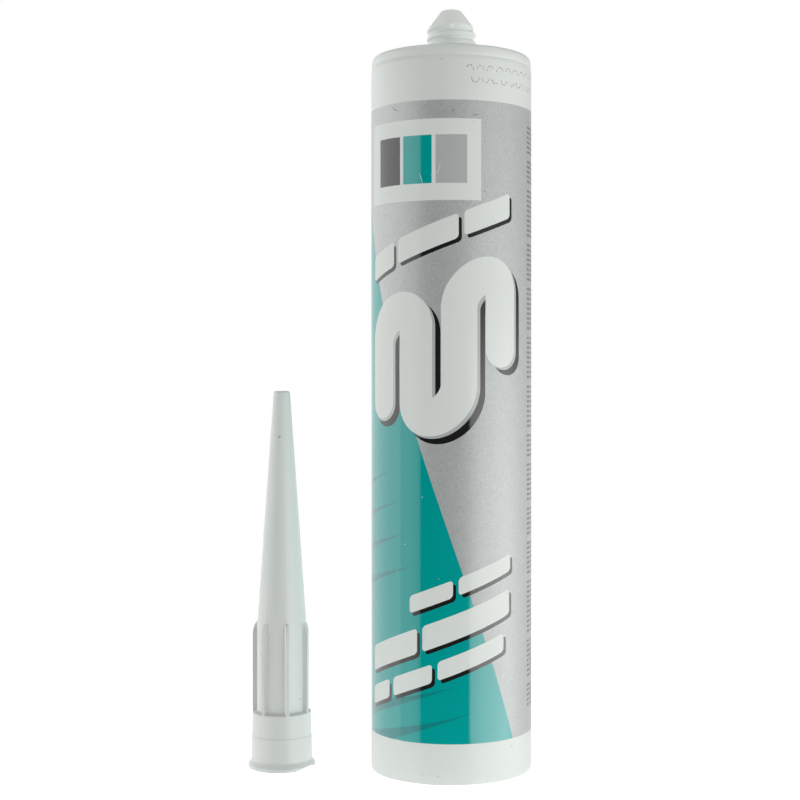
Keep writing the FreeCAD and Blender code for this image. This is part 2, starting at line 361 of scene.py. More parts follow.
def effect_group(name: str, inputs: dict[str, float], outputs: Sequence[str], fill: Callable) -> Tree:
    """A shader node group, made once and then reused.

    Args:
        name: The group's name.
        inputs: Its inputs and their usual values.
        outputs: Its outputs.
        fill: Takes the graph and the group's input sockets by name and gives back the sockets
            of its outputs.

    Returns:
        The group's tree.
    """
    tree = bpy.data.node_groups.get(name)
    if tree:
        return tree
    tree = bpy.data.node_groups.new(name, "ShaderNodeTree")
    for socket, usual in inputs.items():
        made = tree.interface.new_socket(socket, in_out="INPUT", socket_type="NodeSocketFloat")
        made.default_value = usual
    for socket in outputs:
        tree.interface.new_socket(socket, in_out="OUTPUT", socket_type="NodeSocketFloat")
    graph = Graph(tree)
    entry = graph.add("NodeGroupInput")
    results = fill(graph, {socket: entry.outputs[socket] for socket in inputs})
    graph.add("NodeGroupOutput", dict(zip(outputs, results)))
    return tree


def moulding_group() -> Tree:
    """Drift and texture of moulded polyethylene: slow cloudiness and a fine skin texture."""

    def fill(graph: Graph, given: dict) -> list:
        """Two noises: one slow for the drift, one fine for the skin."""
        place = graph.place()
        stretch = {"Vector": place, "Scale": (1.0, 1.0, 0.25)}
        stretched = graph.add("ShaderNodeMapping", stretch).outputs[0]
        drift = graph.noise(stretched, given["Drift Scale"], 3.0)
        return [drift, graph.noise(place, given["Skin Scale"])]

    return effect_group("Moulding", {"Drift Scale": 60.0, "Skin Scale": 1400.0}, ("Drift", "Skin"), fill)


def specks_group() -> Tree:
    """Sparse specks of dirt: cells of a Voronoi pattern, few of them kept, each a small dot."""

    def fill(graph: Graph, given: dict) -> list:
        """A dot where the distance to a cell's centre is small and the cell's colour is high."""
        cells = graph.add("ShaderNodeTexVoronoi", {"Vector": graph.place(), "Scale": given["Scale"]})
        parts = graph.add("ShaderNodeSeparateColor", {"Color": cells.outputs["Color"]})
        chosen = graph.math("GREATER_THAN", parts.outputs[0], given["Rarity"])
        size = graph.math("MULTIPLY", parts.outputs[1], given["Size"])
        dot = graph.math("LESS_THAN", cells.outputs["Distance"], size)
        return [graph.math("MULTIPLY", chosen, dot)]

    return effect_group("Specks", {"Scale": 300.0, "Rarity": 0.97, "Size": 0.12}, ("Mask",), fill)


def flake_group() -> Tree:
    """Grain of metallic ink: fine flakes that differ in brightness, gathered in soft clouds."""

    def fill(graph: Graph, given: dict) -> list:
        """Fine noise for the flakes, and a broader one that gathers them."""
        place = graph.place()
        flake = graph.ramp(graph.noise(place, given["Flake Scale"], 3.0, 0.75), 0.32, 0.68)
        cloud = graph.ramp(graph.noise(place, 260.0), 0.3, 0.7)
        return [flake, cloud]

    return effect_group("Flakes", {"Flake Scale": 2600.0}, ("Flake", "Cloud"), fill)


@dataclass(frozen=True)
class Finish:
    """What a piece is made of: a material with a name, and the record's slot it belongs to."""

    name: str
    slot: str
    colour: Colour

    def material(self) -> bpy.types.Material:
        """The finish's material, made the first time it is asked for."""
        made = bpy.data.materials.get(self.name)
        if made:
            return made
        made = bpy.data.materials.new(self.name)
        made.use_nodes = True
        made.diffuse_color = rgba(self.colour)
        made.node_tree.nodes.clear()
        graph = Graph(made.node_tree)
        shader = graph.add("ShaderNodeBsdfPrincipled")
        graph.add("ShaderNodeOutputMaterial", {"Surface": shader.outputs[0]})
        graph.feed(shader, self.sockets(graph))
        return made

    def sockets(self, graph: Graph) -> dict:
        """What feeds the shader's inputs, by name. Each kind of finish has its own."""
        raise NotImplementedError


@dataclass(frozen=True)
class Polyethylene(Finish):
    """Moulded white polyethylene, milky and slightly glossy."""

    roughness: float = 0.34
    milkiness: float = 0.25
    speck_rarity: float = 0.985
    speck_share: float = 0.55
    speck_colour: Colour = (0.12, 0.11, 0.09)
    drift_share: float = 0.955
    skin_height: float = 0.000004

    def sockets(self, graph: Graph) -> dict:
        """Milky base with slow drift, rare specks, and a fine skin in the roughness and bump."""
        moulding = graph.add("ShaderNodeGroup", node_tree=moulding_group()).outputs
        specks = graph.add("ShaderNodeGroup", node_tree=specks_group())
        specks.inputs["Rarity"].default_value = self.speck_rarity
        drift = graph.ramp(moulding["Drift"], 0.3, 0.7)
        cloudy = graph.blend(drift, rgba(self.colour, self.drift_share), rgba(self.colour))
        # Subclasses paint light or shade into the colour here, for light shining through the wall.
        clean = self.through(graph, cloudy)
        dirt = graph.math("MULTIPLY", specks.outputs["Mask"], self.speck_share)
        skin = {"Strength": 0.5, "Distance": self.skin_height, "Height": moulding["Skin"]}
        rough = (self.roughness - 0.03, self.roughness + 0.05)
        return {
            "Base Color": graph.blend(dirt, clean, rgba(self.speck_colour)),
            "Roughness": graph.ramp(moulding["Skin"], 0.3, 0.7, *rough),
            "Normal": graph.add("ShaderNodeBump", skin).outputs[0],
            "Subsurface Weight": self.milkiness,
            "Subsurface Radius": (1.0, 0.95, 0.8),
            "Subsurface Scale": 0.0015,
            "IOR": 1.5,
        }

    def through(self, graph: Graph, colour: Socket) -> Socket:
        """The colour with any painted light for light that shines through the wall. A thick wall changes
        nothing.
        """
        return colour


@dataclass(frozen=True)
class BarrelPolyethylene(Polyethylene):
    """The barrel's polyethylene, with painted light at the nipple: the colour is paler there, for light
    that shines through the thin wall.
    """

    nipple_foot: float = 0.2208
    nipple_light_share: float = 1.12

    def through(self, graph: Graph, colour: Socket) -> Socket:
        """The colour with painted light: paler above the nipple's foot."""
        level = graph.parts(graph.place())["Z"]
        share = graph.ramp(level, self.nipple_foot, self.nipple_foot + 0.001)
        # painted light: a brighter copy of the colour above the nipple's foot
        return graph.blend(share, colour, graph.scaled(colour, self.nipple_light_share))


@dataclass(frozen=True)
class NozzlePolyethylene(Polyethylene):
    """The nozzle's polyethylene, so thin that light shines through, with painted shade where ribs
    thicken it: the colour is darker there.
    """

    axis: Pair = (-0.053, 0.0)
    wall: Pair = (0.0078, 0.0088)
    ribs_foot: float = 0.0171
    rib_shade_share: float = 0.91

    def through(self, graph: Graph, colour: Socket) -> Socket:
        """The colour with painted shade: darker with the way out from the nozzle's axis, above the foot
        of the ribs.
        """
        place = graph.place()
        above = graph.math("GREATER_THAN", graph.parts(place)["Z"], self.ribs_foot)
        flat = graph.vector("MULTIPLY", place, (1.0, 1.0, 0.0))
        out = graph.vector("DISTANCE", flat, (*self.axis, 0.0))
        share = graph.math("MULTIPLY", graph.ramp(out, *self.wall), above)
        # painted shade: a darker copy of the colour over the ribs
        return graph.blend(share, colour, graph.scaled(colour, self.rib_shade_share))


@dataclass(frozen=True)
class Ink(Finish):
    """Print ink under a thin gloss varnish."""

    roughness: float = 0.5
    varnish: float = 1.0
    varnish_roughness: float = 0.06
    flake: float = 0.0
    metal: float = 0.0

    def sockets(self, graph: Graph) -> dict:
        """The ink's colour with its grain, and the varnish as a coat."""
        flakes = graph.add("ShaderNodeGroup", node_tree=flake_group()).outputs
        fine = graph.math("MULTIPLY", flakes["Flake"], 0.9)
        share = graph.math("MULTIPLY_ADD", flakes["Cloud"], 0.1, fine)
        low, high = rgba(self.colour, 1.0 - self.flake), rgba(self.colour, 1.0 + self.flake)
        rough = (self.roughness - 0.04, self.roughness + 0.04)
        return {
            "Base Color": graph.blend(share, low, high),
            "Roughness": graph.ramp(flakes["Flake"], 0.0, 1.0, *rough),
            "Metallic": self.metal,
            "Coat Weight": self.varnish,
            "Coat Roughness": self.varnish_roughness,
            "Coat IOR": 1.55,
            "Specular IOR Level": 0.0,
        }


@dataclass(frozen=True)
class Grime(Finish):
    """Dry specks of dirt, dull and uneven."""

    def sockets(self, graph: Graph) -> dict:
        """Dark base that a fine noise makes paler here and there."""
        grit = graph.noise(graph.place(), 5000.0)
        return {
            "Base Color": graph.blend(grit, rgba(self.colour), rgba(self.colour, 2.2)),
            "Roughness": graph.ramp(grit, 0.3, 0.7, 0.75, 0.95),
        }


@dataclass(frozen=True)
class Paste(Finish):
    """Smooth uncured sealant, wet and slightly see-through."""

    def sockets(self, graph: Graph) -> dict:
        """Grey paste with slow swirls."""
        scales = {"Drift Scale": 90.0, "Skin Scale": 500.0}
        moulding = graph.add("ShaderNodeGroup", scales, node_tree=moulding_group()).outputs
        return {
            "Base Color": graph.blend(moulding["Drift"], rgba(self.colour), rgba(self.colour, 1.12)),
            "Roughness": graph.ramp(moulding["Skin"], 0.3, 0.7, 0.22, 0.32),
            "Subsurface Weight": 0.3,
            "Subsurface Scale": 0.003,
        }


BARREL_SLOT = "barrel_plastic"
NOZZLE_SLOT = "nozzle_plastic"
BARREL_WHITE = BarrelPolyethylene(
    "barrel_polyethylene", BARREL_SLOT, (0.65, 0.685, 0.655), milkiness=0.12
)
NOZZLE_WHITE = NozzlePolyethylene(
    "nozzle_polyethylene", NOZZLE_SLOT, (0.655, 0.686, 0.66), milkiness=0.12
)
PISTON_WHITE = Polyethylene("piston_polyethylene", "piston_plastic", (0.68, 0.69, 0.665), roughness=0.42)
SEALANT_GREY = Paste("sealant_paste", "sealant_paste", (0.58, 0.58, 0.56))
SILVER_INK = Ink(
    "silver_ink", BARREL_SLOT, (0.405, 0.428, 0.418), varnish_roughness=0.33, flake=0.22, metal=0.21
)
TEAL_INK = Ink("teal_ink", BARREL_SLOT, (0.0, 0.30, 0.283), flake=0.02)
STRIPE_INK = Ink("stripe_ink", BARREL_SLOT, (0.006, 0.195, 0.195), flake=0.03)
DARK_INK = Ink("dark_ink", BARREL_SLOT, (0.012, 0.0125, 0.012), flake=0.05)
GREY_INK = Ink("grey_ink", BARREL_SLOT, (0.40, 0.42, 0.41), flake=0.03)
WHITE_INK = Ink("white_ink", BARREL_SLOT, (0.65, 0.685, 0.655), varnish=0.45, flake=0.012)
FINE_INK = Ink(
    "fine_ink", BARREL_SLOT, (0.13, 0.135, 0.132), roughness=0.6, varnish_roughness=0.3, flake=0.1
)
DIRT = Grime("dirt", BARREL_SLOT, (0.05, 0.048, 0.042))
NOZZLE_DIRT = Grime("nozzle_dirt", NOZZLE_SLOT, (0.05, 0.048, 0.042))


# The thread


@dataclass(frozen=True)
class Thread:
    """A coarse right-hand thread as a height over a turned wall.

    At angle a and height z the nearest turn is k = round((z - start) / pitch - a / 360), and the
    height falls from the crest by the distance from that turn's middle line.
    """

    start: float
    pitch: float = 2.66
    turns: float = 2.75
    depth: float = 0.75
    foot_half: float = 0.90
    crest_half: float = 0.33
    fade_turns: float = 0.045

    def height(self, angle: np.ndarray, level: np.ndarray) -> np.ndarray:
        """How far the thread stands out.

        Args:
            angle: Angles round the axis in radians.
            level: Heights along the axis.

        Returns:
            The thread's height at each place.
        """
        along = (level - self.start) / self.pitch
        around = angle / FULL_TURN
        turn = around + np.round(along - around)
        aside = np.abs(along - turn) * self.pitch
        flank = smooth_rise((self.foot_half - aside) / (self.foot_half - self.crest_half))
        ends = np.minimum(turn, self.turns - turn) / self.fade_turns
        return self.depth * flank * smooth_rise(0.5 + ends)


# The barrel


@dataclass
class Barrel:
    """The barrel: wall, shoulder and the threaded nipple with its uncut tip."""

    wall_radius: float = 24.96
    bore_radius: float = 23.35
    length: float = 220.5
    shoulder_thickness: float = 1.8
    step_low: float = 216.1
    step_high: float = 217.3
    step_depth: float = 0.17
    groove: float = 0.16
    edge_round: float = 1.35
    rim_round: float = 0.35
    foot_radius: float = 8.0
    foot_height: float = 1.3
    root_radius: float = 6.85
    nipple_height: float = 15.2
    cone_height: float = 5.1
    tip_radius: float = 3.0
    tip_wall: float = 1.4
    channel_radius: float = 4.9
    columns: int = 288
    thread: Thread = Thread(start=222.75, foot_half=1.12, crest_half=0.3)

    def profile(self) -> np.ndarray:
        """The barrel's section, down the inside, round the rim and up the outside."""
        top = self.length
        tip = top + self.nipple_height
        cone = tip - self.cone_height
        inside = top - self.shoulder_thickness
        head = self.wall_radius - self.step_depth
        section = rounded_profile([
            (0.6, tip - self.tip_wall),
            (self.tip_radius - self.tip_wall / 2, tip - self.tip_wall, 0.5),
            (self.channel_radius, cone - self.tip_wall / 2, 0.8),
            (self.channel_radius, inside, 0.4),
            (self.bore_radius, inside, 1.2),
            (self.bore_radius, 0.6, 0.3),
            (self.bore_radius + 0.6, 0.0, 0.1),
            (self.wall_radius, 0.0, self.rim_round),
            (self.wall_radius, self.step_low, 0.3),
            (head - self.groove, self.step_high - 0.15, 0.1),
            (head, self.step_high + 0.1, 0.1),
            (head, self.step_high + 0.9, 0.6),
            (head - 0.22, top, self.edge_round),
            (self.foot_radius, top, 0.35),
            (self.foot_radius, top + self.foot_height, 0.25),
            (self.root_radius, top + self.foot_height, 0.15),
            (self.root_radius, cone, 1.6),
            (self.tip_radius, tip, 1.25),
            (0.6, tip),
        ])
        fine = divided(section, 0.2, top + self.foot_height, cone + 0.4)
        return divided(fine, 16.0, 0.0, inside)

    def surface(self) -> Patch:
        """The closed shell.

        The section is turned round the axis. Over the nipple's root the thread's height is added
        to the radius, and it ends along the cone's line carried on outwards.

        Returns:
            The barrel's patch.
        """
        section = self.profile()
        angle = even_angles(self.columns)[None, :]
        radius = section[:, 0][:, None]
        level = section[:, 1][:, None]
        cone = self.length + self.nipple_height - self.cone_height
        over_root = (level > self.length + self.foot_height) & (radius > self.channel_radius + 1.0)
        slope = (self.root_radius - self.tip_radius) / self.cone_height
        under_cone = np.clip((cone - level) * slope, 0.0, None)
        crest = np.minimum(self.thread.height(angle, level), under_cone)
        grown = radius + np.where(over_root, crest, 0.0)
        tip = self.length + self.nipple_height
        poles = ((0.0, 0.0, tip - self.tip_wall), (0.0, 0.0, tip))
        return closed_turning(turned(grown, level, angle), *poles)

    def build(self) -> None:
        """Make the barrel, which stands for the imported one."""
        piece = make_piece("barrel_shell", self.surface(), BARREL_WHITE)
        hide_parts("barrel")


# The print


class Layer(Enum):
    """How far each film of ink stands over the barrel's wall."""

    FIELD = 0.008
    SECOND_FIELD = 0.014
    FIGURE = 0.020
    SHADOW = 0.026
    EDGE = 0.031
    FACE = 0.036


@dataclass
class Label:
    """The barrel's print, laid out on the unrolled wall.

    A place is (along, up): along is the way round the wall from the front to the right, up is
    the height from the barrel's foot. The print is fields of colour and plain shapes.
    """

    wall_radius: float = 24.96
    film: float = 0.005
    foot: float = 12.3
    head: float = 203.6
    rise: float = 0.38
    step: float = 0.7
    columns: int = 288

    def on_wall(self, along: np.ndarray, up: np.ndarray, radius: float) -> np.ndarray:
        """Places rolled onto the wall: (r sin(s / R), -r cos(s / R), up)."""
        turn = along / self.wall_radius
        return np.stack([radius * np.sin(turn), -radius * np.cos(turn), up + 0.0 * turn], axis=-1)

    def film_patch(self, along: np.ndarray, up: np.ndarray, layer: Layer) -> Patch:
        """A closed film over a grid of places.

        The outer sheet lies at the layer's radius and the inner one a film's thickness under
        it, with a rim between them on all four sides.

        Args:
            along: Places along the wall, rows up and columns to the right.
            up: Their heights.
            layer: Which film of ink it is.

        Returns:
            The film.
        """
        outer = self.on_wall(along, up, self.wall_radius + layer.value)
        inner = self.on_wall(along, up, self.wall_radius + layer.value - self.film)
        rows, columns = along.shape
        tube = np.concatenate([outer, inner[:, ::-1]], axis=1)
        faces = grid_quads(rows, 2 * columns, False, True).tolist()
        here = np.arange(columns - 1)
        far = 2 * columns - 1 - here
        top = (rows - 1) * 2 * columns
        faces += np.stack([here + top, here + 1 + top, far - 1 + top, far + top], axis=-1).tolist()
        faces += np.stack([here + 1, here, far, far - 1], axis=-1).tolist()
        return Patch(tube.reshape(-1, 3), faces)

    def ring(self, low: float, high: float, layer: Layer) -> Patch:
        """A film all round the wall between two heights."""
        outer = self.wall_radius + layer.value
        levels = np.linspace(low, high, 13)
        radius = np.concatenate([np.full(13, outer), np.full(2, outer - self.film)])
        level = np.concatenate([levels, [high, low]])
        angle = even_angles(self.columns)[None, :]
        return ring_turning(turned(radius[:, None], level[:, None], angle))

    def quad(self, corners: Sequence[Pair], layer: Layer) -> Patch:
        """A film over a four-sided field.

        A place is the mix of the four corners by its shares along and up.

        Args:
            corners: Lower left, lower right, upper right and upper left.
            layer: Which film of ink it is.

        Returns:
            The film.
        """
        low_left, low_right, high_right, high_left = np.array(corners, dtype=float)
        width = max(low_right[0] - low_left[0], high_right[0] - high_left[0])
        shear = max(abs(high_left[0] - low_left[0]), abs(high_right[0] - low_right[0]))
        upright = max(high_left[1] - low_left[1], high_right[1] - low_right[1])
        rows = max(int(shear / self.step), int(upright / 12.0)) + 2
        across = np.linspace(0.0, 1.0, int(width / self.step) + 2)[None, :, None]
        upward = np.linspace(0.0, 1.0, rows)[:, None, None]
        low = low_left + (low_right - low_left) * across
        high = high_left + (high_right - high_left) * across
        place = low + (high - low) * upward
        return self.film_patch(place[..., 0], place[..., 1], layer)

    def band(self, line: np.ndarray, half_width: np.ndarray, layer: Layer) -> Patch:
        """A film along a line, as wide as it says.

        A place is line + t * half_width * normal, with t from -1 to 1.

        Args:
            line: (along, up) rows.
            half_width: Half the band's width at each of them.
            layer: Which film of ink it is.

        Returns:
            The film.
        """
        ribs = int(2.0 * float(half_width.max()) / self.step) + 3
        way = unit(np.gradient(line, axis=0))
        normal = np.stack([-way[:, 1], way[:, 0]], axis=-1)
        across = np.linspace(-1.0, 1.0, ribs)[:, None, None]
        place = line[None] + across * (half_width[:, None] * normal)[None]
        return self.film_patch(place[..., 0], place[..., 1], layer)

    def dots(self, places: np.ndarray, radii: np.ndarray, layer: Layer) -> Patch:
        """Small films with a round or uneven edge.

        The edge is place + radius * (cos t, sin t) on the unrolled wall, t once round.

        Args:
            places: (along, up) of each dot's middle.
            radii: The radius at each corner, one row for each dot.
            layer: Which film of ink it is.

        Returns:
            All the dots.
        """
        count, corners = radii.shape
        turn = even_angles(corners)
        along = places[:, :1] + radii * np.cos(turn)
        up = places[:, 1:] + radii * np.sin(turn)
        outer = self.on_wall(along, up, self.wall_radius + layer.value)
        inner = self.on_wall(along, up, self.wall_radius + layer.value - self.film)
        points = np.concatenate([outer, inner], axis=1).reshape(-1, 3)
        here = np.arange(corners)
        beside = (here + 1) % corners
        start = np.arange(count)[:, None] * 2 * corners
        sides = np.stack([here, here + corners, beside + corners, beside], axis=-1)
        faces = (start + here).tolist() + (start + corners + here[::-1]).tolist()
        faces += (start[:, :, None] + sides).reshape(-1, 4).tolist()
        return Patch(points, faces)

    def lifted(self, along: np.ndarray, up: np.ndarray) -> np.ndarray:
        """Places whose baseline rises to the right: up + rise * along."""
        return np.stack([along, up + self.rise * along], axis=-1)


def rounded_width(length: np.ndarray, half: float) -> np.ndarray:
    """Half widths that close both ends of a band with half circles: sqrt(h² - d²)."""
    ends = np.minimum(length - length[0], length[-1] - length)
    near = np.clip(half - ends, 0.0, half)
    return np.sqrt(np.maximum(half * half - near * near, (0.02 * half) ** 2))


def path_length(line: np.ndarray) -> np.ndarray:
    """The way gone at each point of a line."""
    steps = np.linalg.norm(np.diff(line, axis=0), axis=1)
    return np.concatenate([[0.0], np.cumsum(steps)])


def on_line(line: np.ndarray, gone: np.ndarray) -> np.ndarray:
    """The line's points where so much of its way is gone."""
    length = path_length(line)
    return np.stack([np.interp(gone, length, line[:, axis]) for axis in (0, 1)], axis=-1)


def box(left: float, right: float, low: float, high: float) -> list[Pair]:
    """An upright field's corners: lower left, lower right, upper right and upper left."""
    return [(left, low), (right, low), (right, high), (left, high)]


def closer_ends(line: np.ndarray, near: float) -> np.ndarray:
    """A line with closer points at its ends, so that a band along it can end in half circles.

    The new points lie at near * (1 - cos t) from each end, with t in even steps up to 90 degrees.

    Args:
        line: Its points in rows.
        near: How far from each end the new points reach.

    Returns:
        The line's own points between the two ends, and the new ones at them.
    """
    length = path_length(line)
    away = near * (1.0 - np.cos(np.linspace(0.0, math.pi / 2.0, 15)))
    between = length[(length > near + 0.1) & (length < length[-1] - near - 0.1)]
    return on_line(line, np.concatenate([away, between, (length[-1] - away)[::-1]]))


@dataclass
class Fields(Label):
    """The label's big fields: silver all round, teal with its slanting edge, and white panels."""

    teal_left: float = -64.0
    teal_edge_foot: float = 20.9
    teal_edge_slope: float = 0.347
    panel: Four = (-31.4, 9.1, 173.8, 198.1)
    tile_left: float = -26.0
    tile_width: float = 9.45
    tile_gap: float = 1.2
    tile_low: float = 178.9
    tile_high: float = 193.3

    def build(self) -> None:
        """Make the fields."""
        make_piece("print_silver", self.ring(self.foot, self.head, Layer.FIELD), SILVER_INK)
        edge_head = self.teal_edge_foot - self.teal_edge_slope * (self.head - self.foot)
        corners = box(self.teal_left, self.teal_edge_foot, self.foot, self.head)
        corners[2] = (edge_head, self.head)
        make_piece("print_teal", self.quad(corners, Layer.SECOND_FIELD), TEAL_INK)
        make_piece("print_panel", self.quad(box(*self.panel), Layer.FIGURE), WHITE_INK)
        for number, ink in enumerate((DARK_INK, TEAL_INK, GREY_INK)):
            left = self.tile_left + number * (self.tile_width + self.tile_gap)
            corners = box(left, left + self.tile_width, self.tile_low, self.tile_high)
            make_piece(f"print_tile_{number + 1}", self.quad(corners, Layer.SHADOW), ink)


@dataclass
class Serpentine(Label):
    """A bead of sealant laid in bends, the label's main figure, with its edge and its shadow."""

    stroke_gap: float = 13.6
    half_width: float = 5.5
    stroke_height: float = 36.5
    middle: float = 129.5
    first: float = -24.8
    bends: int = 3
    edge_shift: Pair = (0.9, -0.7)
    shadow_shift: Pair = (2.5, -2.3)

    def line(self) -> np.ndarray:
        """The bead's middle line: straight strokes joined by half circles at alternate ends."""
        bend = self.stroke_gap / 2.0
        half = self.stroke_height / 2.0 - bend
        pieces = []
        outer_edge = math.pi * (bend + self.half_width)
        turn = np.linspace(0.0, math.pi, int(outer_edge / self.step) + 3)[1:-1]
        for index in range(self.bends + 1):
            side = 1.0 if index % 2 == 0 else -1.0
            along = self.first + index * self.stroke_gap
            up = np.linspace(-side * half, side * half, 9)
            pieces.append(np.stack([np.full(len(up), along), up], axis=-1))
            if index < self.bends:
                arc = [along + bend - bend * np.cos(turn), side * (half + bend * np.sin(turn))]
                pieces.append(np.stack(arc, axis=-1))
        flat = np.concatenate(pieces)
        return self.lifted(flat[:, 0], flat[:, 1] + self.middle)

    def build(self) -> None:
        """Make the bead's shadow, its edge and its face."""
        line = closer_ends(self.line(), self.half_width)
        widths = rounded_width(path_length(line), self.half_width)
        shadow = self.band(line + np.array(self.shadow_shift), widths, Layer.SHADOW)
        edge = self.band(line + np.array(self.edge_shift), widths, Layer.EDGE)
        face = self.band(line, widths, Layer.FACE)
        make_piece("print_bead_shadow", shadow, DARK_INK)
        make_piece("print_bead_edge", edge, GREY_INK)
        make_piece("print_bead", face, WHITE_INK)


@dataclass(frozen=True)
class BarRow:
    """A row of bars: where it starts, how high it lies and stands, and each bar's length."""

    left: float
    up: float
    height: float
    lengths: tuple[float, ...]


@dataclass
class Bars(Label):
    """Rows of bars that rise to the right, each with a dark shadow at its lower right."""

    rows: tuple[BarRow, ...] = (
        BarRow(-30.0, 165.5, 7.4, (11.0, 19.5, 15.5)),
        BarRow(-13.0, 58.2, 5.2, (13.5, 17.5)),
        BarRow(-30.5, 46.6, 7.6, (20.0, 28.0)),
        BarRow(-30.5, 35.4, 5.6, (9.5, 13.5, 21.0)),
    )
    gap: float = 1.7
    corner: float = 1.1
    shadow_shift: Pair = (0.95, -0.95)

    def bar(self, left: float, length: float, row: BarRow, layer: Layer, shift: Pair) -> Patch:
        """One bar with rounded corners along the rising line.

        Half the height is h/2 - c + sqrt(c² - (c - d)²), where c is the corner's radius and d
        the way from the nearer end.

        Args:
            left: Where the bar starts.
            length: How long it is.
            row: The row it stands in.
            layer: Which film of ink it is.
            shift: How far it is moved along and up.

        Returns:
            The film.
        """
        round_end = self.corner * (1.0 - np.cos(np.linspace(0.0, math.pi / 2.0, 7)))
        straight = np.linspace(self.corner, length - self.corner, int(length / self.step) + 2)
        away = np.concatenate([round_end[:-1], straight, (length - round_end[::-1])[1:]])
        near = np.clip(self.corner - np.minimum(away, length - away), 0.0, self.corner)
        half = row.height / 2.0 - self.corner + np.sqrt(self.corner ** 2 - near ** 2)
        line = self.lifted(left + away, np.full(len(away), row.up)) + np.array(shift)
        return self.upright_band(line, half, layer)

    def upright_band(self, line: np.ndarray, half: np.ndarray, layer: Layer) -> Patch:
        """A film that reaches straight up and down from its middle line."""
        across = np.linspace(-1.0, 1.0, 9)[:, None]
        return self.film_patch(line[None, :, 0] + 0.0 * across, line[None, :, 1] + across * half, layer)

    def build(self) -> None:
        """Make all the bars and all their shadows."""
        faces, shadows = [], []
        for row in self.rows:
            left = row.left
            for length in row.lengths:
                faces.append(self.bar(left, length, row, Layer.FACE, (0.0, 0.0)))
                shadows.append(self.bar(left, length, row, Layer.SHADOW, self.shadow_shift))
                left += length + self.gap
        make_piece("print_bars", Patch.joined(faces), WHITE_INK)
        make_piece("print_bar_shadows", Patch.joined(shadows), DARK_INK)


@dataclass
class Stripes(Label):
    """Curved stripes across the teal field, pointed at both ends and widest at the left."""

    tips: tuple[Pair, ...] = (
        (-20.0, 93.0), (-17.0, 84.0), (-14.5, 74.5), (-11.5, 65.0), (2.0, 29.5), (6.5, 21.5),
    )
    left: float = -63.0
    widest: float = -44.0
    slope: float = 0.29
    growth: float = 0.0235

    def stripe(self, tip_along: float, tip_up: float) -> Patch:
        """One stripe.

        With d the way back from its tip, its middle line is tip - slope * d and its half width
        is growth * d^1.3, times an even fall to nothing between its widest place and its left.

        Args:
            tip_along: Where its right-hand tip lies.
            tip_up: How high the tip lies.

        Returns:
            The stripe, kept above the label's lower edge.
        """
        along = np.linspace(self.left, tip_along, int((tip_along - self.left) / self.step))
        back = tip_along - along
        fall = smooth_rise((along - self.left) / (self.widest - self.left))
        half = self.growth * back ** 1.3 * fall + 0.015
        middle = tip_up - self.slope * back
        top = np.maximum(middle + half, self.foot + 0.03)
        low = np.maximum(middle - half, self.foot)
        keep = middle + half > self.foot
        across = np.linspace(0.0, 1.0, 9)[:, None]
        up = low[keep] + (top[keep] - low[keep]) * across
        return self.film_patch(along[keep] + 0.0 * across, up, Layer.FIGURE)

    def build(self) -> None:
        """Make the stripes."""
        made = [self.stripe(*tip) for tip in self.tips]
        make_piece("print_stripes", Patch.joined(made), STRIPE_INK)


@dataclass
class HeadDots(Label):
    """A faded band of tiny dots at the head's right: small arches above, small cups below."""

    left: float = 5.6
    pitch: float = 3.3
    count: int = 10
    arch: Pair = (1.15, 1.45)
    high: float = 212.6
    low: float = 210.4
    dot_radius: float = 0.16
    seed: int = 5

    def build(self) -> None:
        """Make the dots: each arch is (a cos t, b sin t) round its middle, and each cup its mirror."""
        chance = np.random.default_rng(self.seed)
        turn = np.linspace(0.12, math.pi - 0.12, 11)
        wide, tall = self.arch
        middles = self.left + self.pitch * np.arange(self.count)[:, None]
        aside, rise = wide * np.cos(turn), tall * np.sin(turn) + 0.0 * middles
        arches = np.stack([middles + aside, self.high + rise], axis=-1)
        cups = np.stack([middles + 0.5 * self.pitch + aside, self.low - rise], axis=-1)
        places = np.concatenate([arches.reshape(-1, 2), cups.reshape(-1, 2)])
        places = places + chance.normal(0.0, 0.04, places.shape)
        places = places[chance.random(len(places)) > 0.2]
        radii = self.dot_radius * chance.uniform(0.65, 1.1, (len(places), 1)) * np.ones((1, 7))
        make_piece("print_head_dots", self.dots(places, radii, Layer.FIELD), FINE_INK)


@dataclass(frozen=True)
class Column:
    """A column of fine dashes: its sides, its lower and upper end, and how its rows are spaced."""

    left: float
    right: float
    low: float
    high: float
    pitch: float = 1.5
    height: float = 0.72


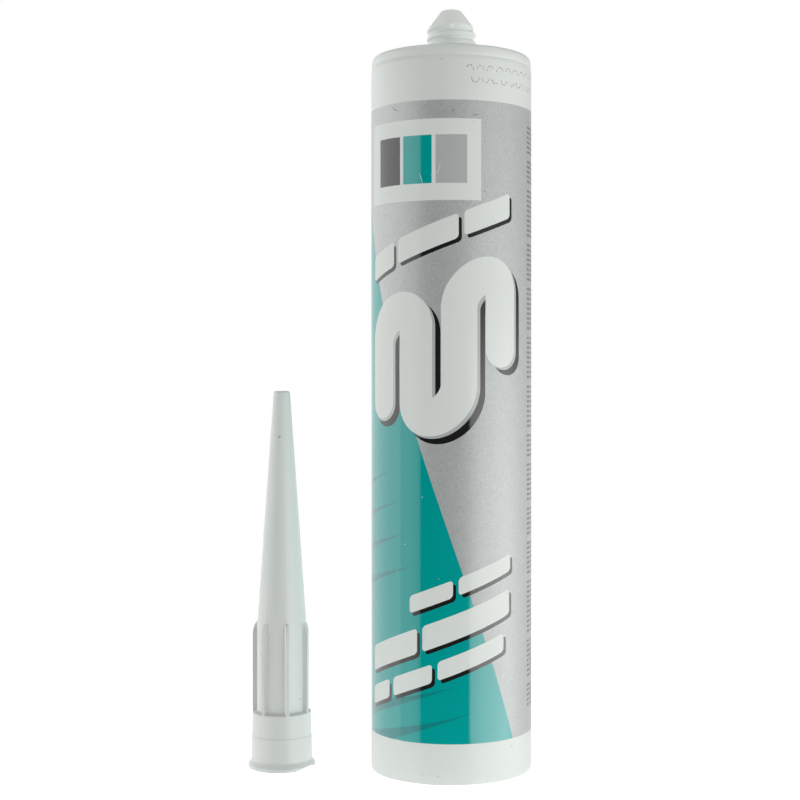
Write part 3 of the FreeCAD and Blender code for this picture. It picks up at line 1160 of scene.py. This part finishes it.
@dataclass
class FinePrint(Label):
    """Columns of fine dashes on the barrel's side and back, with a pale panel over two of them."""

    columns_of_dashes: tuple[Column, ...] = (
        Column(29.7, 50.0, 18.0, 199.0),
        Column(54.0, 71.0, 20.0, 146.0),
        Column(74.5, 91.0, 20.0, 146.0),
    )
    panel: Four = (54.0, 91.0, 152.0, 198.1)
    inset: float = 2.0
    header_height: float = 7.5
    header_gap: float = 2.5
    gap: float = 0.7
    ragged: float = 1.6
    last_ragged: float = 9.0
    seed: int = 11

    def rows(self, column: Column, chance: np.random.Generator, layer: Layer) -> list[Patch]:
        """The dashes of a column, in rows of uneven length with a bare row now and then."""
        made = []
        count = int((column.high - column.low) / column.pitch)
        bare = set(np.cumsum(chance.integers(6, 13, count)).tolist())
        for number in range(count):
            if number in bare:
                continue
            low = column.high - (number + 1) * column.pitch
            short = self.last_ragged if number + 1 in bare else self.ragged
            end = column.right - float(chance.uniform(0.0, short))
            left = column.left
            while left < end - 1.0:
                right = min(left + float(chance.uniform(1.4, 5.2)), end)
                made.append(self.quad(box(left, right, low, low + column.height), layer))
                left = right + self.gap
        return made

    def build(self) -> None:
        """Make the columns, the panel and the fields on the panel."""
        chance = np.random.default_rng(self.seed)
        made = []
        for column in self.columns_of_dashes:
            made.extend(self.rows(column, chance, Layer.FIGURE))
        left, right, low, high = self.panel
        left, right = left + self.inset, right - self.inset
        low, high = low + self.inset, high - self.inset
        head = high - self.header_height
        under_header = Column(left, right, low, head - self.header_gap)
        made.extend(self.rows(under_header, chance, Layer.EDGE))
        make_piece("print_fine_dashes", Patch.joined(made), FINE_INK)
        make_piece("print_back_panel", self.quad(box(*self.panel), Layer.FIGURE), WHITE_INK)
        header = self.quad(box(left, right, head, high), Layer.SHADOW)
        make_piece("print_back_header", header, TEAL_INK)


@dataclass
class Wear(Label):
    """Hair scratches and specks of dirt on the barrel, where they lie on the real one."""

    dark_hairs: tuple[tuple[Pair, ...], ...] = (
        ((-19.43, 203.0), (-19.26, 202.1), (-18.36, 201.6), (-17.21, 201.1)),
        ((6.42, 199.1), (7.44, 199.25), (8.25, 199.5)),
        ((0.38, 200.9), (0.42, 200.0)),
        ((30.81, 199.8), (31.49, 198.9)),
        ((10.15, 177.0), (10.41, 176.1)),
    )
    pale_hairs: tuple[tuple[Pair, ...], ...] = (
        ((-3.21, 185.6), (-3.48, 183.9), (-3.96, 182.1), (-5.16, 181.5), (-6.38, 181.3)),
        ((-9.85, 182.3), (-9.21, 180.5), (-8.57, 178.4)),
    )
    dark_specks: tuple[Three, ...] = (
        (-2.76, 215.7, 0.16), (-22.76, 170.35, 0.2), (-26.27, 161.8, 0.16), (-30.6, 89.8, 0.2),
        (-31.03, 72.1, 0.2), (13.12, 15.6, 0.17), (20.33, 10.0, 0.16), (-3.99, 2.65, 0.15),
        (-8.92, 2.9, 0.12), (18.03, 4.0, 0.11), (-11.61, 213.7, 0.1), (6.79, 197.2, 0.14),
    )
    pale_specks: tuple[Three, ...] = (
        (-8.79, 85.5, 0.17), (-14.55, 71.2, 0.14), (-3.72, 61.3, 0.12), (15.47, 198.3, 0.14),
    )
    hair_half: float = 0.07
    seed: int = 23

    def hair(self, corners: Sequence[Pair]) -> Patch:
        """A fine scratch through its corners, pointed at both ends."""
        places = np.array(corners)
        length = path_length(places)[-1]
        gone = np.linspace(0.0, length, max(6, int(length / 0.3)))
        half = self.hair_half * np.sin(np.pi * gone / length) ** 0.5 + 0.01
        return self.band(on_line(places, gone), half, Layer.FACE)

    def specks(self, specks: Sequence[Three], chance: np.random.Generator) -> Patch:
        """Uneven dots, each (along, up, radius)."""
        sheet = np.array(specks)
        radii = sheet[:, 2:] * chance.uniform(0.65, 1.3, (len(sheet), 9))
        return self.dots(sheet[:, :2], radii, Layer.FACE)

    def build(self) -> None:
        """Make the dark wear and the pale wear."""
        chance = np.random.default_rng(self.seed)
        dark = [self.hair(hair) for hair in self.dark_hairs] + [self.specks(self.dark_specks, chance)]
        pale = [self.hair(hair) for hair in self.pale_hairs] + [self.specks(self.pale_specks, chance)]
        make_piece("wear_dark", Patch.joined(dark), DIRT)
        make_piece("wear_pale", Patch.joined(pale), WHITE_INK)


# The nozzle


@dataclass
class Nozzle:
    """The nozzle: flange, collar, ribbed grip and long hollow cone, standing on its flange."""

    axis: float = -53.0
    length: float = 117.0
    core_radius: float = 7.65
    rib_radius: float = 9.05
    rib_half: float = 0.52
    flank: float = 0.28
    rib_count: int = 7
    first_rib: float = -72.5
    rib_top: float = 45.2
    rib_shoulder: float = 4.2
    cone_foot: float = 45.0
    cone_round: float = 6.0
    collar_top: float = 17.0
    socket_depth: float = 16.4
    socket_radius: float = 7.75
    mouth_depth: float = 3.0
    mouth_radius: float = 8.15
    hollow_radius: float = 6.4
    tip_hole: float = 1.3
    nick_start: float = 4.5
    nick_height: float = 1.0
    grains: tuple[Three, ...] = ((-36.0, 21.5, 0.17), (-141.0, 35.8, 0.13))
    thread: Thread = Thread(start=4.4, turns=4.0, depth=0.62, foot_half=0.78, crest_half=0.25)

    def angles(self) -> np.ndarray:
        """Angles round the axis, close together at the ribs' flanks."""
        flank = self.rib_half + self.flank
        rib = self.rib_half
        near = np.array([-flank - 0.25, -flank, -flank + 0.1, -rib - 0.06, -rib, -0.2])
        around = np.concatenate([near, -near[::-1]]) / self.rib_radius
        pitch = FULL_TURN / self.rib_count
        between = np.linspace(around[-1], pitch + around[0], 18)[1:-1]
        one = np.concatenate([around, between])
        turns = np.arange(self.rib_count)[:, None] * pitch
        return (one[None, :] + turns).ravel() + math.radians(self.first_rib)

    def outside(self) -> np.ndarray:
        """The outer section, from the tip's hole down to the mouth's edge."""
        return rounded_profile([
            (self.tip_hole, self.length),
            (2.5, self.length, 0.85),
            (self.core_radius - 0.02, self.cone_foot, self.cone_round),
            (self.core_radius, 17.65, 0.25),
            (9.08, self.collar_top, 0.2),
            (9.2, 9.95, 0.05),
            (9.34, 9.8, 0.05),
            (9.42, 2.4, 0.9),
            (10.4, 1.0, 0.3),
            (10.38, 0.0, 0.15),
            (self.mouth_radius, 0.0),
        ])

    def inside(self) -> np.ndarray:
        """The inner section, from the mouth's edge up to the tip's hole."""
        return rounded_profile([
            (self.mouth_radius, 0.0),
            (self.mouth_radius, self.mouth_depth, 0.1),
            (self.socket_radius, self.mouth_depth + 0.3, 0.1),
            (self.socket_radius, self.socket_depth, 0.2),
            (self.hollow_radius, self.socket_depth, 0.3),
            (self.hollow_radius, self.cone_foot, self.cone_round),
            (self.tip_hole, self.length),
        ])

    def surface(self) -> Patch:
        """The closed shell.

        Outside, radius = core + (rib - core) * share, where the share falls over the rib's flank
        with the way from the rib's middle line, and the rib's own radius rounds down to the
        core over its shoulder. Inside the socket the thread's height is taken off the radius.
        The nick lifts the flange's underside at the right front.

        Returns:
            The nozzle's patch.
        """
        outer = divided(self.outside()[::-1], 0.35, self.collar_top + 0.4, self.rib_top + 0.6)
        inner = divided(self.inside(), 0.24, self.mouth_depth, self.socket_depth)
        angle = self.angles()[None, :]
        radius, level = outer[:, 0][:, None], outer[:, 1][:, None]
        pitch = FULL_TURN / self.rib_count
        aside = np.abs((angle - math.radians(self.first_rib) + pitch / 2.0) % pitch - pitch / 2.0)
        share = smooth_rise((self.rib_half + self.flank - aside * self.rib_radius) / self.flank)
        fall = np.clip((level - self.rib_top + self.rib_shoulder) / self.rib_shoulder, 0.0, 1.0)
        crest = self.core_radius + (self.rib_radius - self.core_radius) * (1.0 - fall ** 2) ** 0.75
        ribbed = (level > self.collar_top + 0.3) & (level < self.rib_top)
        outer_radius = radius + np.where(ribbed, np.maximum(crest - radius, 0.0) * share, 0.0)
        threaded = (inner[:, 1] > self.mouth_depth + 0.3) & (inner[:, 1] < self.socket_depth - 0.1)
        ridge = self.thread.height(angle, inner[:, 1][:, None])
        inner_radius = inner[:, 0][:, None] - np.where(threaded[:, None], ridge, 0.0)
        outer_grid = turned(outer_radius, level, angle)
        inner_grid = turned(inner_radius, inner[:, 1][:, None], angle)[::-1]
        grid = np.concatenate([outer_grid, inner_grid[1:-1]])
        nick = smooth_rise((grid[..., 0] - self.nick_start) / 4.4) * smooth_rise(-grid[..., 1] / 0.6)
        low = grid[..., 2] < self.nick_height + 0.3
        grid[..., 2] = np.where(low, np.maximum(grid[..., 2], self.nick_height * nick), grid[..., 2])
        grid[..., 0] += self.axis
        return ring_turning(grid)

    def grain(self, radius: float, bearing: float, level: float, size: float) -> Patch:
        """A grain of dirt, a small ball half sunk into the nozzle's wall.

        Args:
            radius: The wall's radius there.
            bearing: The angle round the nozzle's axis in degrees.
            level: The height.
            size: The ball's radius.

        Returns:
            The grain.
        """
        turn = math.radians(bearing)
        middle = np.array([self.axis + radius * math.cos(turn), radius * math.sin(turn), level])
        rise = np.radians([-60.0, -30.0, 0.0, 30.0, 60.0])[:, None]
        ball = turned(size * np.cos(rise), size * np.sin(rise), even_angles(10)[None, :]) + middle
        top = np.array([0.0, 0.0, size])
        return closed_turning(ball, middle - top, middle + top)

    def build(self) -> None:
        """Make the nozzle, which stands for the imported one, and the grains of dirt on it."""
        piece = make_piece("nozzle_shell", self.surface(), NOZZLE_WHITE)
        piece.visible_glossy = False
        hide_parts("nozzle")
        grains = [self.grain(self.core_radius, *grain) for grain in self.grains]
        make_piece("nozzle_specks", Patch.joined(grains), NOZZLE_DIRT)


# Piston and sealant


@dataclass
class Piston:
    """The piston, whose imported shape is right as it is."""

    node: str = "piston"

    def build(self) -> None:
        """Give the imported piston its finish."""
        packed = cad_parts[self.node]
        packed.data.materials.clear()
        packed.data.materials.append(PISTON_WHITE.material())
        log.info("%s: finish only", self.node)


@dataclass
class Plug:
    """The sealant between the piston and the shoulder."""

    radius: float = 23.25
    low: float = 33.3
    high: float = 218.6
    corner: float = 1.2
    keep: float = 0.002
    columns: int = 128

    def surface(self) -> Patch:
        """A turned plug with rounded corners, closed at both poles."""
        section = rounded_profile([
            (1.0, self.low),
            (self.radius, self.low, 0.5),
            (self.radius, self.high, self.corner),
            (1.0, self.high),
        ])
        section = divided(section, 12.0, self.low, self.high)
        angle = even_angles(self.columns)[None, :]
        points = turned(section[:, 0][:, None], section[:, 1][:, None], angle)
        return closed_turning(points, (0.0, 0.0, self.low), (0.0, 0.0, self.high))

    def build(self) -> None:
        """Make the sealant, which stands for the imported one, with a mesh of its own."""
        piece = make_piece("sealant_plug", self.surface(), SEALANT_GREY)
        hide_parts("sealant")
        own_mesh(piece)


# The studio


@dataclass(frozen=True)
class LightBand:
    """How bright the studio's wall is all round, at one height.

    Its stops are (bearing, radiance). A bearing is counted in degrees from the camera's side to
    the right, from -180 to 180, both of them behind the object.
    """

    stops: tuple[Pair, ...]

    def radiance(self, graph: Graph, turn: Socket, peak: float) -> Socket:
        """The radiance by bearing, as a ramp between the stops.

        Args:
            graph: The world's node tree.
            turn: The bearing, from 0 at -180 degrees to 1 at 180.
            peak: The radiance that the ramp's white stands for.

        Returns:
            The radiance as a share of the peak.
        """
        ramp = graph.add("ShaderNodeValToRGB", {"Fac": turn})
        elements = ramp.color_ramp.elements
        for index, (bearing, radiance) in enumerate(self.stops):
            level = radiance / peak
            if index == 0:
                element = elements[0]
            elif index == len(self.stops) - 1:
                element = elements[-1]
            else:
                element = elements.new((bearing + 180.0) / 360.0)
            element.color = (level, level, level, 1.0)
        return ramp.outputs["Color"]


@dataclass(frozen=True)
class SoftBox:
    """A rectangular light that neither the camera nor gloss sees, in metres and watts."""

    name: str
    size: Pair
    energy: float
    place: Three
    facing: Three

    def build(self) -> None:
        """Make the light and turn it the way it faces."""
        lamp = bpy.data.lights.new(self.name, "AREA")
        lamp.shape = "RECTANGLE"
        lamp.size, lamp.size_y = self.size
        lamp.energy = self.energy
        light = placed(self.name, lamp)
        light.location = self.place
        light.rotation_euler = Vector(self.facing).to_track_quat("-Z", "Y").to_euler()
        light.visible_camera = False
        light.visible_glossy = False


@dataclass
class Floor:
    """A pale lit floor that fades out before its edge, and is clear to gloss and from below.

    It glows a little, and more as the camera sees it, so that it is nearly white and only the
    shadows at the feet show. Ranges are metres from the middle, from the nozzle or to the right.
    """

    radius: float = 1.2
    drop: float = 0.00015
    columns: int = 96
    far_glow: float = 0.3
    near_glow: float = 1.0
    seen_glow: float = 0.64
    near: Pair = (0.05, 0.13)
    fade: Pair = (0.12, 0.75)
    nozzle_place: Three = (-0.053, 0.0, 0.0)
    by_nozzle: Four = (0.014, 0.034, 0.8, 1.0)
    to_right: Four = (-0.02, 0.04, 0.75, 1.5)

    def build(self) -> None:
        """Make the floor, a flat disc of rings round a middle face."""
        radius = np.linspace(self.radius, 0.01, 24)[:, None]
        grid = turned(radius, 0.0 * radius - self.drop, even_angles(self.columns)[None, :])
        faces = grid_quads(len(radius), self.columns, False, True).tolist()
        faces.append((np.arange(self.columns) + (len(radius) - 1) * self.columns).tolist())
        mesh = bpy.data.meshes.new("floor")
        mesh.from_pydata(grid.reshape(-1, 3).tolist(), [], faces)
        mesh.materials.append(self.paper())
        placed("floor", mesh)

    def glow(self, graph: Graph, place: Socket, away: Socket) -> Socket:
        """How much the floor glows: most at the feet and to the right, less by the nozzle."""
        aside = graph.vector("DISTANCE", place, self.nozzle_place)
        glow = graph.ramp(away, *self.near, self.near_glow, self.far_glow)
        glow = graph.math("MULTIPLY", glow, graph.ramp(aside, *self.by_nozzle))
        return graph.math("MULTIPLY", glow, graph.ramp(graph.parts(place)["X"], *self.to_right))

    def paper(self) -> bpy.types.Material:
        """The floor's material."""
        material = bpy.data.materials.new("floor_paper")
        material.use_nodes = True
        material.node_tree.nodes.clear()
        graph = Graph(material.node_tree)
        place = graph.place()
        away = graph.vector("LENGTH", place)
        path = graph.add("ShaderNodeLightPath").outputs
        glow = self.glow(graph, place, away)
        more = graph.math("SUBTRACT", self.seen_glow, glow)
        strength = graph.math("MULTIPLY_ADD", path["Is Camera Ray"], more, glow)
        matt = graph.add("ShaderNodeBsdfDiffuse", {"Color": (0.93, 0.935, 0.93, 1.0)})
        shine = graph.add("ShaderNodeEmission", {"Color": (1.0, 1.0, 1.0, 1.0), "Strength": strength})
        lit = graph.add("ShaderNodeAddShader", {0: matt.outputs[0], 1: shine.outputs[0]})
        clear = graph.add("ShaderNodeBsdfTransparent")
        below = graph.add("ShaderNodeNewGeometry").outputs["Backfacing"]
        share = graph.math("MAXIMUM", path["Is Glossy Ray"], below)
        share = graph.math("MAXIMUM", graph.ramp(away, *self.fade), share)
        mixed = graph.add("ShaderNodeMixShader", {0: share, 1: lit.outputs[0], 2: clear.outputs[0]})
        graph.add("ShaderNodeOutputMaterial", {"Surface": mixed.outputs[0]})
        return material


@dataclass
class Surround:
    """White behind everything the camera sees, and soft light walls round the object.

    The bearing is atan2(x, -y). The radiance goes from the low band to the high band as the way
    rises past the level, and fades out towards straight up and straight down.
    """

    peak: float = 5.0
    level: Pair = (-0.03, 0.06)
    below: Pair = (-0.42, -0.28)
    below_share: float = 0.1
    above: Pair = (0.25, 0.5)
    above_share: float = 0.25
    low_band: LightBand = LightBand((
        (-180.0, 0.9), (-150.0, 1.25), (-128.0, 1.8), (-112.0, 2.05), (-100.0, 2.15), (-89.0, 2.22),
        (-79.5, 2.32), (-75.0, 1.64), (-62.0, 1.64), (-54.0, 1.42), (-48.0, 1.15), (-45.5, 0.95),
        (-43.5, 0.0), (24.5, 0.0), (28.0, 2.7), (44.0, 3.85), (64.0, 4.6), (82.0, 5.0),
        (92.0, 4.15), (102.0, 2.9), (114.0, 1.8), (130.0, 1.0), (180.0, 0.9),
    ))
    high_band: LightBand = LightBand((
        (-180.0, 0.6), (-150.0, 1.15), (-112.0, 2.15), (-80.0, 2.4), (-75.0, 2.1), (-62.0, 1.95),
        (-46.0, 1.4), (-42.5, 0.0), (4.0, 0.0), (10.0, 0.1), (40.0, 0.5), (70.0, 0.62),
        (90.0, 0.45), (114.0, 0.25), (180.0, 0.6),
    ))

    def build(self) -> None:
        """Make the world."""
        world = bpy.data.worlds.new("studio")
        bpy.context.scene.world = world
        world.use_nodes = True
        world.node_tree.nodes.clear()
        graph = Graph(world.node_tree)
        way = graph.parts(graph.add("ShaderNodeTexCoord").outputs["Generated"])
        bearing = graph.math("ARCTAN2", way["X"], graph.math("MULTIPLY", way["Y"], -1.0))
        turn = graph.ramp(bearing, -math.pi, math.pi)
        low = self.low_band.radiance(graph, turn, self.peak)
        high = self.high_band.radiance(graph, turn, self.peak)
        wall = graph.blend(graph.ramp(way["Z"], *self.level), low, high)
        rise = graph.ramp(way["Z"], *self.below, self.below_share * self.peak, self.peak)
        fall = graph.ramp(way["Z"], *self.above, 1.0, self.above_share)
        strength = graph.math("MULTIPLY", graph.math("MULTIPLY", wall, rise), fall)
        seen = graph.add("ShaderNodeLightPath").outputs["Is Camera Ray"]
        unseen = graph.math("MULTIPLY", strength, graph.math("SUBTRACT", 1.0, seen))
        total = graph.math("ADD", unseen, seen)
        light = graph.add("ShaderNodeBackground", {"Color": (1.0, 1.0, 1.0, 1.0), "Strength": total})
        graph.add("ShaderNodeOutputWorld", {"Surface": light.outputs[0]})


@dataclass
class Studio:
    """Floor, surround, soft boxes and camera."""

    camera_distance: float = 0.483
    camera_height: float = 0.1198
    lens: float = 69.5
    shift: Pair = (-0.0641, -0.0225)
    lights: tuple[SoftBox, ...] = (
        SoftBox("above", (1.2, 1.2), 4.5, (0.0, -0.1, 1.2), (0.0, 0.0, -1.0)),
        SoftBox("fill", (1.6, 0.8), 5.2, (0.4, -1.45, 0.25), (-0.4, 1.45, -0.15)),
        SoftBox("beside", (0.02, 0.12), 0.0066, (-0.0285, -0.004, 0.062), (-1.0, 0.1, 0.0)),
    )

    def build(self) -> None:
        """Set up the whole studio."""
        for part in (Floor(), Surround(), *self.lights):
            part.build()
        self.make_camera()

    def make_camera(self) -> None:
        """The camera, level, straight in front of the barrel, with the frame shifted."""
        lens = bpy.data.cameras.new("camera")
        lens.lens = self.lens
        lens.sensor_width = 36.0
        lens.shift_x, lens.shift_y = self.shift
        lens.clip_start = 0.01
        camera = placed("camera", lens)
        camera.location = (0.0, -self.camera_distance, self.camera_height)
        camera.rotation_euler = (math.pi / 2.0, 0.0, 0.0)
        bpy.context.scene.camera = camera
        bpy.context.scene.view_settings.view_transform = "Standard"


def main() -> None:
    """Build every sub-assembly in order."""
    logging.basicConfig(level=logging.INFO, format="%(name)s: %(message)s")
    label = (Fields(), Stripes(), Bars(), Serpentine(), HeadDots(), FinePrint(), Wear())
    for part in (Studio(), Barrel(), *label, Nozzle(), Piston(), Plug()):
        part.build()


if __name__ == "__main__":
    main()
